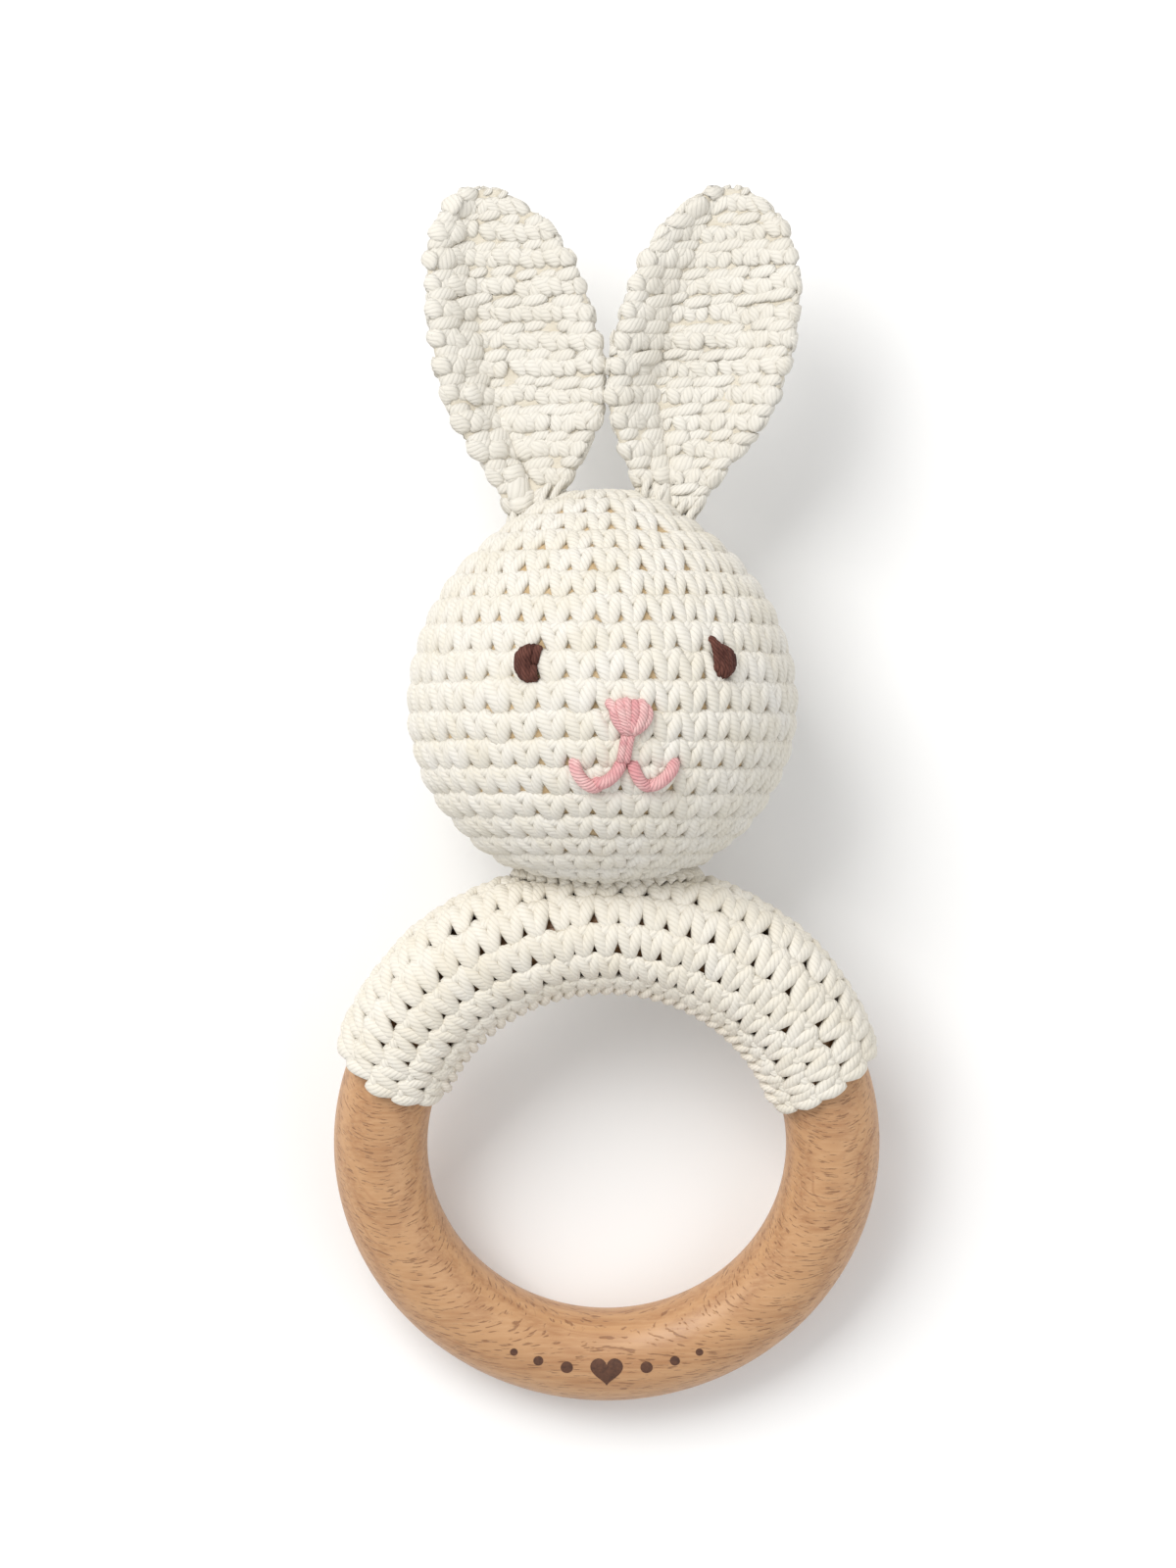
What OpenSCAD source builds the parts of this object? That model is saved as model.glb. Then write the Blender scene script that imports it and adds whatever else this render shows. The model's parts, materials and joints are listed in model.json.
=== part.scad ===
// Crochet bunny teething ring with a rattle head. It lies on its back: the back of
// the head and the foot of the ring touch the table, and the ring's top is raised.
// X is across the ring, +Y runs towards the ears, +Z points up, out of the face.
// The origin is on the table, under the middle of the bounding box.

/* [Ring] */
// Outer diameter of the wooden ring
ring_od = 70; // [60:0.5:80]
// Diameter of the ring's round section
ring_section = 12; // [10:0.5:14]
// Angle between the ring's plane and the table
ring_tilt = 17.6; // [12:0.1:20]

/* [Sleeve] */
// Thickness of the crocheted sleeve's wall
sleeve_wall = 1.4; // [1:0.1:2]
// Gap between the sleeve and the wood, so that the sleeve slides round
sleeve_gap = 0.1; // [0.05:0.01:0.1]
// Where the sleeve starts on the right, measured up from the ring's middle
sleeve_right = 17; // [5:1:40]
// Where the sleeve ends on the left, measured up from the ring's middle
sleeve_left = 21; // [5:1:40]

/* [Head] */
// Diameter of the head
head_d = 49.3; // [46:0.1:52]
// Height of the head above its widest round
head_up = 26.4; // [24:0.1:28]
// Height of the head below its widest round
head_down = 23.1; // [22:0.1:25]
// Distance from the middle of the ring's tube to the head's widest round
neck_reach = 28.4; // [27:0.1:30]
// How far the head sits to the left of the ring's middle
head_shift = 0.6; // [0:0.1:1]
// Thickness of the crocheted head cover
head_wall = 1.8; // [1.2:0.1:2.5]

/* [Ears] */
// Length of an ear from its root to its tip, along Y
ear_length = 38.7; // [34:0.1:40]
// Width of an ear
ear_width = 22.6; // [18:0.1:22.8]
// Thickness of the crocheted ear
ear_wall = 2.6; // [2:0.1:3]
// Radius of the ear's cup, which opens towards the face
ear_cup = 18; // [14:0.5:40]
// Outward lean of the left ear at its root
left_lean = 2.5; // [2:0.5:6]
// How much further out the left ear's tip bends
left_bend = 5.4; // [5:0.1:7]
// Outward lean of the right ear at its root
right_lean = 11.5; // [11:0.5:14]
// How much further out the right ear's tip bends
right_bend = 0; // [0:0.1:2]

/* [Face] */
// Turn of the whole face to the right, about the head's axis
face_turn = 8; // [-10:1:10]
// Angle from the middle of the face to each eye
eye_angle = 30; // [24:1:36]
// Height of the eyes above the head's widest round
eye_height = 5.5; // [3:0.1:8]
// Length of an eye, up and down the face
eye_length = 5.2; // [4:0.1:6]
// Width of an eye
eye_width = 3.2; // [2.4:0.1:4]
// Distance of the nose below the head's widest round
nose_drop = 1.4; // [0:0.1:3]
// Width of the nose
nose_width = 5.8; // [4:0.1:7]
// Length of the nose, up and down the face
nose_length = 5; // [4:0.1:6]
// Distance of the stem's middle below the head's widest round
stem_drop = 5.45; // [4:0.05:7]
// Length of the stem between the nose and the mouth
stem_length = 3; // [2:0.1:4]
// Distance of the mouth below the head's widest round
mouth_drop = 7.1; // [6:0.1:9]
// Outer radius of each curve of the mouth
mouth_r = 3.6; // [3:0.1:4.5]
// Width of the stem and of the mouth's curves
thread_w = 1.3; // [1:0.1:1.8]
// Thickness of the embroidery
stitch_t = 0.9; // [0.6:0.1:1.2]

/* [Rattle] */
// Outer diameter of the rattle capsule
capsule_d = 25; // [22:0.5:28]
// Wall of the rattle capsule
capsule_wall = 1.2; // [1:0.1:1.6]
// Diameter of a rattle bead
bead_d = 4; // [3:0.1:4.2]
// Distance of the outer beads' lanes from the capsule's middle
bead_spread = 5; // [4.8:0.1:5.5]

/* [Neck] */
// Diameter of the yarn that sews the neck
seam_d = 1.3; // [1:0.1:1.6]
// Half length of the sewn patch, along the sleeve
seam_half_length = 11; // [9:0.5:11]
// Half width of the sewn patch, across the sleeve
seam_half_width = 6.3; // [5:0.1:6.5]
// Gap between pieces that move on each other
run_gap = 0.35; // [0.3:0.05:0.5]

/* [Hidden] */
$fn = 96;

ring_r = ring_section / 2;
ring_mid = ring_od / 2 - ring_r;        // radius of the tube's centre line
sleeve_in = ring_r + sleeve_gap;
sleeve_out = sleeve_in + sleeve_wall;
head_r = head_d / 2;

// The root of each ear stands just clear of the crown, as a round bar along X.
root_r = ear_wall / 2;
root_half = 3.6;
left_root_x = -9.9;
right_root_x = 8.4;
root_clear = 0.8;                        // between the root's bar and the stitches under it
ear_blunt = 0.48;                        // a smaller power makes the ear's ends blunter
foot_share = 0.8;                        // width of an ear's foot, as a share of its root bar's
cup_share = 0.8;                         // how far up its cup's radius an ear may reach

// Lengths along Y, measured from the ring's middle.
ring_foot = ring_mid * cos(ring_tilt) + ring_r;
neck_y = ring_mid * cos(ring_tilt);
head_from_ring = neck_y + neck_reach;
ear_from_ring = head_from_ring + head_up + root_r + run_gap;
ear_top = ear_from_ring + ear_length;

ring_y = (ring_foot - ear_top) / 2;      // puts the origin in the middle of the length
ring_z = ring_mid * sin(ring_tilt) + ring_r;
pivot_y = ring_y + neck_y;               // the tube's centre under the neck
pivot_z = ring_z + ring_mid * sin(ring_tilt);
head_x = -head_shift;
head_y = ring_y + head_from_ring;
head_z = head_r;
ear_y = ring_y + ear_from_ring;

// The neck's seam and the head's seat are both round about the pivot.
seam_in = sleeve_out + run_gap;
seam_out = seam_in + seam_d;
seat_r = seam_out + run_gap;

capsule_r = capsule_d / 2;
capsule_in = capsule_r - capsule_wall;
bead_r = bead_d / 2;
bead_gap = 0.15;                         // between a bead at rest and the capsule
bead_reach = capsule_in - bead_r - bead_gap;
lip_t = 0.5;
lip_h = 1.2;
lip_gap = 0.05;
fill_gap = 0.02;                         // between the stuffing and the cover
far = 60;                                // longer than anything that it cuts

// The left eye has a round bite out of its right side, and the right eye a straight left side.
bite_r = 1.1;
bite_x = eye_width / 2 + 0.3;
flat_x = -1;
// The nose's corners, in shares of half its width and of its length.
nose_corners = [
    [-1, 0.24], [-0.5, 0.48], [0, 0.54], [0.5, 0.48],
    [1, 0.24], [0.55, -0.32], [0, -0.48], [-0.55, -0.32]
];
mouth_x = 3;                             // from the stem to the middle of each curve
mouth_apart = 0.05;

// Half of an egg's outline: r wide, up above and down below its widest point.
function egg(r, up, down, n = 36) = [
    for (i = [0:n])
        let (a = -90 + 180 * i / n)
        [r * cos(a), (a > 0 ? up : down) * sin(a)]
];

// An ear's outline, round its root at 0 and its tip at 1: a leaf on a bent middle line.
function leaf(t) = max(root_half * foot_share * (1 - t), ear_width / 2 * pow(sin(180 * t), ear_blunt));
function ear_side(lean, bend, side, n = 24) = [
    for (i = [0:n - 1])
        let (t = i / n)
        [tan(lean) * ear_length * t + bend * t * t + side * leaf(t), ear_length * t]
];
function ear_outline(lean, bend) = concat(
    ear_side(lean, bend, -1),
    [[tan(lean) * ear_length + bend, ear_length]],
    [for (p = [len(ear_side(lean, bend, 1)) - 1:-1:0]) ear_side(lean, bend, 1)[p]]
);

module in_ring() {
    translate([0, ring_y, ring_z]) rotate([ring_tilt, 0, 0]) children();
}

module in_head() {
    translate([head_x, head_y, head_z]) rotate([-90, 0, 0]) children();
}

// A bar along X through the pivot.
module pivot_bar(r, half) {
    translate([-half, pivot_y, pivot_z]) rotate([0, 90, 0]) cylinder(r = r, h = 2 * half);
}

module head_solid(grow = 0) {
    in_head() rotate_extrude()
        polygon(egg(head_r + grow, head_up + grow, head_down + grow));
}

module arc_tube(mid, r, from, to) {
    rotate([0, 0, from]) rotate_extrude(angle = to - from) translate([mid, 0]) circle(r = r);
}

module stadium(half, r) {
    square([2 * (half - r), 2 * r], center = true);
    for (s = [-1, 1]) translate([s * (half - r), 0]) circle(r = r);
}

module wooden_ring() {
    color("burlywood") in_ring() rotate_extrude() translate([ring_mid, 0]) circle(r = ring_r);
}

module sleeve_cover() {
    color("ivory") in_ring()
        rotate([0, 0, sleeve_right])
            rotate_extrude(angle = 180 - sleeve_left - sleeve_right)
                translate([ring_mid, 0]) difference() {
                    circle(r = sleeve_out);
                    circle(r = sleeve_in);
                }
}

// The whip-stitched seam runs along the sleeve's inner side, facing the hole.
module sleeve_seam() {
    seam_turn = 150;
    short = 1;
    color("linen") in_ring() difference() {
        rotate([0, 0, sleeve_right + short])
            rotate_extrude(angle = 180 - sleeve_left - sleeve_right - 2 * short)
                translate([ring_mid, 0]) rotate(seam_turn)
                    translate([sleeve_out, 0]) circle(r = seam_d / 2);
        arc_tube(ring_mid, sleeve_out, sleeve_right - short, 180 - sleeve_left + short);
    }
}

module neck_seam() {
    color("linen") intersection() {
        difference() {
            pivot_bar(seam_out, far / 2);
            pivot_bar(seam_in, far);
        }
        translate([0, pivot_y, pivot_z]) rotate([-90, 0, 0])
            linear_extrude(far) difference() {
                stadium(seam_half_length, seam_half_width);
                stadium(seam_half_length - seam_d, seam_half_width - seam_d);
            }
    }
}

module head_cover() {
    color("ivory") difference() {
        head_solid();
        head_solid(-head_wall);
        pivot_bar(seat_r, far);
    }
}

module head_stuffing() {
    color("white") difference() {
        head_solid(-head_wall - fill_gap);
        translate([head_x, head_y, head_z]) sphere(r = capsule_r + lip_gap);
        pivot_bar(seat_r, far);
    }
}

// Half of the hollow capsule, on the side of +Z. The lip of one half sits in the other.
module capsule_half(lip) {
    difference() {
        sphere(r = capsule_r);
        sphere(r = capsule_in);
        translate([-far, -far, -2 * far]) cube(2 * far);
        if (!lip) cylinder(r = capsule_in + lip_t + lip_gap, h = 2 * (lip_h + 2 * lip_gap), center = true);
    }
    if (lip) translate([0, 0, -lip_h]) difference() {
        cylinder(r = capsule_in + lip_t, h = 1.25 * lip_h);
        translate([0, 0, -lip_h]) cylinder(r = capsule_in, h = 3 * lip_h);
    }
}

module capsule_front() {
    color("lightsteelblue") translate([head_x, head_y, head_z]) capsule_half(false);
}

module capsule_back() {
    color("lightsteelblue") translate([head_x, head_y, head_z]) mirror([0, 0, 1]) capsule_half(true);
}

// A bead at the bottom of its own lane, off the middle by dx and dy.
module bead(dx, dy) {
    drop = sqrt(pow(bead_reach, 2) - dx * dx - dy * dy);
    color("silver") translate([head_x + dx, head_y + dy, head_z - drop]) sphere(r = bead_r);
}

// A leaf cut from a round cup, on a bar that is the ear's root.
module ear(root_x, lean, bend) {
    color("floralwhite") translate([root_x, ear_y, head_z]) {
        intersection() {
            translate([0, 0, -ear_wall]) linear_extrude(ear_wall + ear_cup * cup_share)
                polygon(ear_outline(lean, bend));
            rotate([0, 0, -lean]) translate([0, -far / 2, ear_cup]) rotate([-90, 0, 0]) difference() {
                cylinder(r = ear_cup + ear_wall / 2, h = 2 * far);
                cylinder(r = ear_cup - ear_wall / 2, h = 2 * far);
            }
        }
        rotate([0, 90, 0]) cylinder(r = root_r, h = 2 * root_half, center = true);
    }
}

// A short wall of stitches that stands on the crown, under an ear's root.
module ear_seam(root_x) {
    color("linen") translate([root_x, ear_y, head_z]) difference() {
        translate([-root_half, -head_up / 2, -seam_d / 2]) cube([2 * root_half, head_up / 2, seam_d]);
        rotate([0, 90, 0]) cylinder(r = root_r + root_clear, h = far, center = true);
        translate([-root_x, -ear_y, -head_z]) head_solid();
    }
}

// A raised patch of embroidery: a flat shape pressed onto the head from outside,
// turned about the head's axis. Its own X runs right and its own Y towards the ears.
module on_face(turn, height) {
    intersection() {
        difference() {
            head_solid(stitch_t);
            head_solid();
        }
        translate([head_x, head_y, head_z]) rotate([0, turn, 0])
            translate([0, height, 0]) linear_extrude(far) children();
    }
}

module stadium_up(half, r) {
    rotate(90) stadium(half, r);
}

module left_eye() {
    color("saddlebrown") on_face(face_turn - eye_angle, eye_height) difference() {
        stadium_up(eye_length / 2, eye_width / 2);
        translate([bite_x, 0]) circle(r = bite_r);
    }
}

module right_eye() {
    color("saddlebrown") on_face(face_turn + eye_angle, eye_height) intersection() {
        stadium_up(eye_length / 2, eye_width / 2);
        translate([flat_x, -far / 2]) square(far);
    }
}

module nose() {
    color("pink") on_face(face_turn, -nose_drop)
        polygon([for (p = nose_corners) [p[0] * nose_width / 2, p[1] * nose_length]]);
}

module nose_stem() {
    color("pink") on_face(face_turn, -stem_drop) square([thread_w, stem_length], center = true);
}

// One curve of the mouth, hanging below the stem.
module mouth_arc() {
    difference() {
        circle(r = mouth_r);
        circle(r = mouth_r - thread_w);
        translate([-far / 2, 0]) square(far);
    }
}

module mouth_left() {
    color("pink") on_face(face_turn, -mouth_drop) intersection() {
        translate([-mouth_x, 0]) mouth_arc();
        translate([-far - mouth_apart, -far / 2]) square(far);
    }
}

module mouth_right() {
    color("pink") on_face(face_turn, -mouth_drop) intersection() {
        translate([mouth_x, 0]) mouth_arc();
        translate([mouth_apart, -far / 2]) square(far);
    }
}

wooden_ring();
sleeve_cover();
sleeve_seam();
neck_seam();
head_cover();
head_stuffing();
capsule_front();
capsule_back();
bead(0, 0);  // bead_1
bead(bead_spread, 0);  // bead_2
bead(0, bead_spread);  // bead_3
bead(-bead_spread, 0);  // bead_4
bead(0, -bead_spread);  // bead_5
ear(left_root_x, -left_lean, -left_bend);  // left_ear
ear(right_root_x, right_lean, right_bend);  // right_ear
ear_seam(left_root_x);  // left_ear_seam
ear_seam(right_root_x);  // right_ear_seam
left_eye();
right_eye();
nose();
nose_stem();
mouth_left();
mouth_right();
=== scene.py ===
import json
import math

import bpy
import numpy as np
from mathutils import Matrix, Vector


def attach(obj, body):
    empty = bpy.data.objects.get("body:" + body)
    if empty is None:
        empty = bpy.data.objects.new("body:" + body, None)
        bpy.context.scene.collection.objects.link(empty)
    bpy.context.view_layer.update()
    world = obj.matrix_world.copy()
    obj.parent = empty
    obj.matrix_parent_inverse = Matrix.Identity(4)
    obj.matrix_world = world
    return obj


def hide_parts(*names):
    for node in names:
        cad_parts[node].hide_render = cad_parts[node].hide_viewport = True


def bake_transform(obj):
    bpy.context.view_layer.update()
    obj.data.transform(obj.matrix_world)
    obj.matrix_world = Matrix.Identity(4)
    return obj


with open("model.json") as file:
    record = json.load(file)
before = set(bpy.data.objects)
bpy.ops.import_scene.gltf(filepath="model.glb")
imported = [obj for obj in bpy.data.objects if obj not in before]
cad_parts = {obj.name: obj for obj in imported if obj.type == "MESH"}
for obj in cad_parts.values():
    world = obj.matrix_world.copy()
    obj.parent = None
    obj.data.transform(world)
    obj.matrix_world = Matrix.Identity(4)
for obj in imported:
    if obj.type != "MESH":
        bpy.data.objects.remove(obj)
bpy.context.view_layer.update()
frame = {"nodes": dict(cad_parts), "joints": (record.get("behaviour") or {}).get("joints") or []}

# Lengths are in millimetres up to to_mesh(), which makes metres.
MM = 0.001

# The ring: its middle, tilt and tube, and the neck's pivot on the tube's centre line, in the
# places that the frame's ring_turn and neck_tilt joints give.
JOINTS = {joint["name"]: joint for joint in frame["joints"]}
RING = np.array(JOINTS["ring_turn"]["pos_m"]) / MM
PIVOT = np.array(JOINTS["neck_tilt"]["pos_m"]) / MM
TILT = math.radians(17.6)
TUBE_MID = 29.0
TUBE_R = 6.0

# The head is an egg about an axis along Y.
HEAD = np.array([-0.6, 11.4675, 24.65])
HEAD_R = 24.65
HEAD_UP = 26.4         # from its widest round to the crown
HEAD_DOWN = 23.1       # and to the neck
CROWN_LIFT = 1.5       # the ears' sewing draws the crown up a little
FACE_TURN = 8.0        # the face looks a little to the right
SEAT_R = 9.45          # how close the head's yarn comes to the line through the pivot
YARN_DEPTH = 1.0       # from the outside of the fabric to the surface it is worked on


# ---------------------------------------------------------------- camera and light

def add_camera():
    """Looks straight down on the object from 0.8 m."""
    data = bpy.data.cameras.new("camera")
    data.lens = 141.8
    data.sensor_width = 36
    data.clip_start = 0.01
    data.clip_end = 50
    camera = bpy.data.objects.new("camera", data)
    camera.location = (-0.0024, 0.001725, 0.8072)
    bpy.context.scene.collection.objects.link(camera)
    bpy.context.scene.camera = camera


def add_light(name, place, size, power, colour, aim=(0, 0, 0.02)):
    data = bpy.data.lights.new(name, "AREA")
    data.size = size
    data.energy = power
    data.color = colour
    light = bpy.data.objects.new(name, data)
    light.location = place
    away = light.location - Vector(aim)
    light.rotation_euler = away.to_track_quat("Z", "Y").to_euler()
    bpy.context.scene.collection.objects.link(light)


def add_world(colour, strength):
    world = bpy.data.worlds.new("studio")
    world.use_nodes = True
    back = world.node_tree.nodes["Background"]
    back.inputs["Color"].default_value = (*colour, 1)
    back.inputs["Strength"].default_value = strength
    bpy.context.scene.world = world


def add_floor():
    half = 3.0
    mesh = bpy.data.meshes.new("floor")
    corners = [(-half, -half, 0), (half, -half, 0), (half, half, 0), (-half, half, 0)]
    mesh.from_pydata(corners, [], [(0, 1, 2, 3)])
    floor = bpy.data.objects.new("floor", mesh)
    bpy.context.scene.collection.objects.link(floor)
    mesh.materials.append(plain("floor_white", (0.9, 0.9, 0.9), 0.8))


# ---------------------------------------------------------------- materials

def srgb(red, green, blue):
    """The linear colour of an sRGB one given from 0 to 255."""
    def linear(c):
        c = c / 255
        return c / 12.92 if c <= 0.04045 else ((c + 0.055) / 1.055) ** 2.4
    return (linear(red), linear(green), linear(blue))


class Nodes:
    """A material's nodes, with short calls for the ones used here."""

    def __init__(self, name, roughness):
        self.material = bpy.data.materials.new(name)
        self.material.use_nodes = True
        self.tree = self.material.node_tree
        self.shader = self.tree.nodes["Principled BSDF"]
        self.shader.inputs["Roughness"].default_value = roughness

    def put(self, socket, value):
        if hasattr(value, "is_output"):
            self.tree.links.new(value, socket)
        elif isinstance(value, tuple) and len(socket.default_value) == 4:
            socket.default_value = (*value, 1)
        else:
            socket.default_value = value

    def add(self, kind, outlet=0, inputs=None, **settings):
        node = self.tree.nodes.new(kind)
        for key, value in settings.items():
            setattr(node, key, value)
        for key, value in (inputs or {}).items():
            self.put(node.inputs[key], value)
        return node.outputs[outlet]

    def math(self, operation, *values):
        inputs = dict(enumerate(values))
        return self.add("ShaderNodeMath", operation=operation, inputs=inputs)

    def mix(self, share, first, second, blend_type="MIX"):
        inputs = {"Factor": share, 6: first, 7: second}
        return self.add("ShaderNodeMix", 2, inputs, data_type="RGBA", blend_type=blend_type)

    def ramp(self, value, low, high):
        """0 below low, 1 above high and straight in between."""
        inputs = {"Value": value, "From Min": low, "From Max": high}
        return self.add("ShaderNodeMapRange", 0, inputs, clamp=True)

    def place(self, turn=(0, 0, 0), scale=(1, 1, 1)):
        """The point on the piece in its own frame, in millimetres, turned and then scaled."""
        point = self.add("ShaderNodeTexCoord", "Object")
        size = tuple(s / MM for s in scale)
        turned = self.add("ShaderNodeMapping", 0, {"Vector": point, "Rotation": turn})
        return self.add("ShaderNodeMapping", 0, {"Vector": turned, "Scale": size})

    def noise(self, vector, scale, detail=2.0, rough=0.5):
        inputs = {"Vector": vector, "Scale": scale, "Detail": detail, "Roughness": rough}
        return self.add("ShaderNodeTexNoise", "Fac", inputs)

    def bump(self, height, distance):
        inputs = {"Height": height, "Distance": distance * MM, "Strength": 1.0}
        return self.add("ShaderNodeBump", 0, inputs)


def plain(name, colour, roughness):
    """One colour all over, for the floor."""
    nodes = Nodes(name, roughness)
    nodes.put(nodes.shader.inputs["Base Color"], colour)
    return nodes.material


def yarn(name, light, dark, lay=4.0, relief=0.06, tone=0.06, sheen=0.12, patches=0.22):
    """Soft spun yarn. The yarn map holds millimetres along the strand and turns round it, and
    the stitch attribute a tone for each stitch. lay is the length of one turn of the plies."""
    plies = 3
    fibres_round, fibre_pull = 22.0, 0.45
    nodes = Nodes(name, 0.85)
    along_round = nodes.add("ShaderNodeUVMap", 0, uv_map="yarn")
    parts = nodes.tree.nodes.new("ShaderNodeSeparateXYZ")
    nodes.put(parts.inputs[0], along_round)
    along, turn = parts.outputs[0], parts.outputs[1]

    twist = nodes.math("ADD", nodes.math("DIVIDE", along, lay), turn)
    wave = nodes.math("SINE", nodes.math("MULTIPLY", twist, 2 * math.pi * plies))
    groove = nodes.math("POWER", nodes.math("ABSOLUTE", wave), 0.6)

    fibre_inputs = {"X": nodes.math("MULTIPLY", twist, fibres_round),
                    "Y": nodes.math("MULTIPLY", along, fibre_pull)}
    fibre_at = nodes.add("ShaderNodeCombineXYZ", 0, fibre_inputs)
    fibre = nodes.noise(fibre_at, 1.0, 3.0, 0.6)

    patch = nodes.noise(nodes.place(), patches, 2.0)
    stitch = nodes.add("ShaderNodeAttribute", "Fac", attribute_name="stitch")
    shade = nodes.math("ADD", nodes.math("MULTIPLY", fibre, 0.5), nodes.math("MULTIPLY", patch, 0.5))
    shade = nodes.math("ADD", shade, nodes.math("MULTIPLY", stitch, tone * 4))
    colour = nodes.mix(nodes.ramp(shade, 0.35, 0.85), dark, light)
    # Painted shade: the colour darkens towards 0.8 of dark in the grooves between the plies, where
    # shade falls.
    groove_painted_shade = nodes.math("MULTIPLY", nodes.math("SUBTRACT", 1.0, groove), 0.22)
    colour = nodes.mix(groove_painted_shade, colour, tuple(c * 0.8 for c in dark))
    nodes.put(nodes.shader.inputs["Base Color"], colour)

    height = nodes.math("ADD", groove, nodes.math("MULTIPLY", fibre, 0.5))
    nodes.put(nodes.shader.inputs["Normal"], nodes.bump(height, relief))
    nodes.put(nodes.shader.inputs["Sheen Weight"], sheen)
    nodes.put(nodes.shader.inputs["Sheen Roughness"], 0.5)
    nodes.put(nodes.shader.inputs["Sheen Tint"], (1.0, 0.97, 0.9))
    nodes.put(nodes.shader.inputs["Specular IOR Level"], 0.25)
    return nodes.material


def fibrefill(name, light, dark):
    """Soft clumps of fibre."""
    nodes = Nodes(name, 0.95)
    at = nodes.place()
    clump = nodes.noise(at, 0.5, 4.0, 0.65)
    nodes.put(nodes.shader.inputs["Base Color"], nodes.mix(nodes.ramp(clump, 0.3, 0.7), dark, light))
    nodes.put(nodes.shader.inputs["Normal"], nodes.bump(nodes.noise(at, 3.0, 4.0, 0.7), 0.2))
    nodes.put(nodes.shader.inputs["Specular IOR Level"], 0.1)
    return nodes.material


def beech(name):
    """Steamed beech: soft growth bands and fine lines through the blank, streaks and short dark
    flecks. The numbers in place() are cycles of noise for each millimetre along X, Y and Z."""
    nodes = Nodes(name, 0.42)
    flat = (-TILT, 0, 0)
    drift = nodes.noise(nodes.place(flat, (0.035, 0.11, 0.11)), 1.0, 3.0, 0.5)
    parts = nodes.tree.nodes.new("ShaderNodeSeparateXYZ")
    nodes.put(parts.inputs[0], nodes.place(flat))
    depth = nodes.math("ADD", parts.outputs[2], nodes.math("MULTIPLY", parts.outputs[1], 0.22))
    layer = nodes.math("ADD", depth, nodes.math("MULTIPLY", drift, 9.0))
    even_layer = nodes.math("ADD", depth, nodes.math("MULTIPLY", drift, 2.5))
    band = nodes.math("SINE", nodes.math("MULTIPLY", layer, 2.4))
    band = nodes.ramp(band, -1.0, 1.0)

    streak = nodes.noise(nodes.place(flat, (0.10, 2.2, 2.2)), 1.0, 3.0, 0.6)
    rays = (-TILT - math.radians(38), 0, 0)
    fleck = nodes.noise(nodes.place(rays, (0.55, 6.0, 0.85)), 1.0, 2.0, 0.45)
    fleck = nodes.ramp(fleck, 0.60, 0.67)
    line = nodes.ramp(nodes.math("SINE", nodes.math("MULTIPLY", even_layer, 6.0)), 0.8, 1.0)
    shown = nodes.ramp(nodes.noise(nodes.place(flat, (0.07, 0.07, 0.07)), 1.0, 2.0), 0.48, 0.62)
    line = nodes.math("MULTIPLY", nodes.math("MULTIPLY", line, shown), 0.4)

    light, dark = srgb(190, 145, 103), srgb(172, 126, 87)
    colour = nodes.mix(band, dark, light)
    colour = nodes.mix(nodes.ramp(streak, 0.35, 0.85), colour, srgb(200, 158, 117))
    colour = nodes.mix(line, colour, srgb(150, 98, 64))
    colour = nodes.mix(nodes.math("MULTIPLY", fleck, 0.6), colour, srgb(116, 72, 44))
    nodes.put(nodes.shader.inputs["Base Color"], colour)
    rough = nodes.ramp(streak, 0.2, 0.8)
    rough = nodes.math("ADD", nodes.math("MULTIPLY", rough, 0.12), 0.36)
    nodes.put(nodes.shader.inputs["Roughness"], rough)
    height = nodes.math("SUBTRACT", nodes.math("MULTIPLY", streak, 0.4), fleck)
    nodes.put(nodes.shader.inputs["Normal"], nodes.bump(height, 0.05))
    return nodes.material


def scorched(name):
    """Wood darkened by a branding iron."""
    nodes = Nodes(name, 0.6)
    char = nodes.noise(nodes.place(), 1.6, 3.0, 0.6)
    colour = nodes.mix(nodes.ramp(char, 0.3, 0.7), srgb(70, 42, 28), srgb(98, 62, 43))
    nodes.put(nodes.shader.inputs["Base Color"], colour)
    nodes.put(nodes.shader.inputs["Normal"], nodes.bump(char, 0.05))
    return nodes.material


def plastic(name, colour, roughness, cloud=0.0):
    """Moulded plastic, which lets through the share of light that cloud says."""
    nodes = Nodes(name, roughness)
    haze = nodes.noise(nodes.place(), 0.35, 3.0)
    shaded = nodes.mix(nodes.ramp(haze, 0.3, 0.7), tuple(c * 0.9 for c in colour), colour)
    nodes.put(nodes.shader.inputs["Base Color"], shaded)
    nodes.put(nodes.shader.inputs["Transmission Weight"], cloud)
    nodes.put(nodes.shader.inputs["Normal"], nodes.bump(nodes.noise(nodes.place(), 2.5, 2.0), 0.01))
    return nodes.material


# ---------------------------------------------------------------- meshes

def unit(vectors):
    return vectors / np.maximum(np.linalg.norm(vectors, axis=-1, keepdims=True), 1e-9)


def smooth(points, count):
    """count points on a smooth curve through these ones, evenly spaced in their numbering."""
    points = np.asarray(points, float)
    last = len(points) - 1
    padded = np.vstack([2 * points[0] - points[1], points, 2 * points[-1] - points[-2]])
    t = np.linspace(0, last, count)
    i = np.minimum(t.astype(int), last - 1)
    f = (t - i)[:, None]
    a, b, c, d = (padded[i + k] for k in range(4))
    return 0.5 * (2 * b + (c - a) * f + (2 * a - 5 * b + 4 * c - d) * f ** 2
                  + (3 * b - a - 3 * c + d) * f ** 3)


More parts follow.
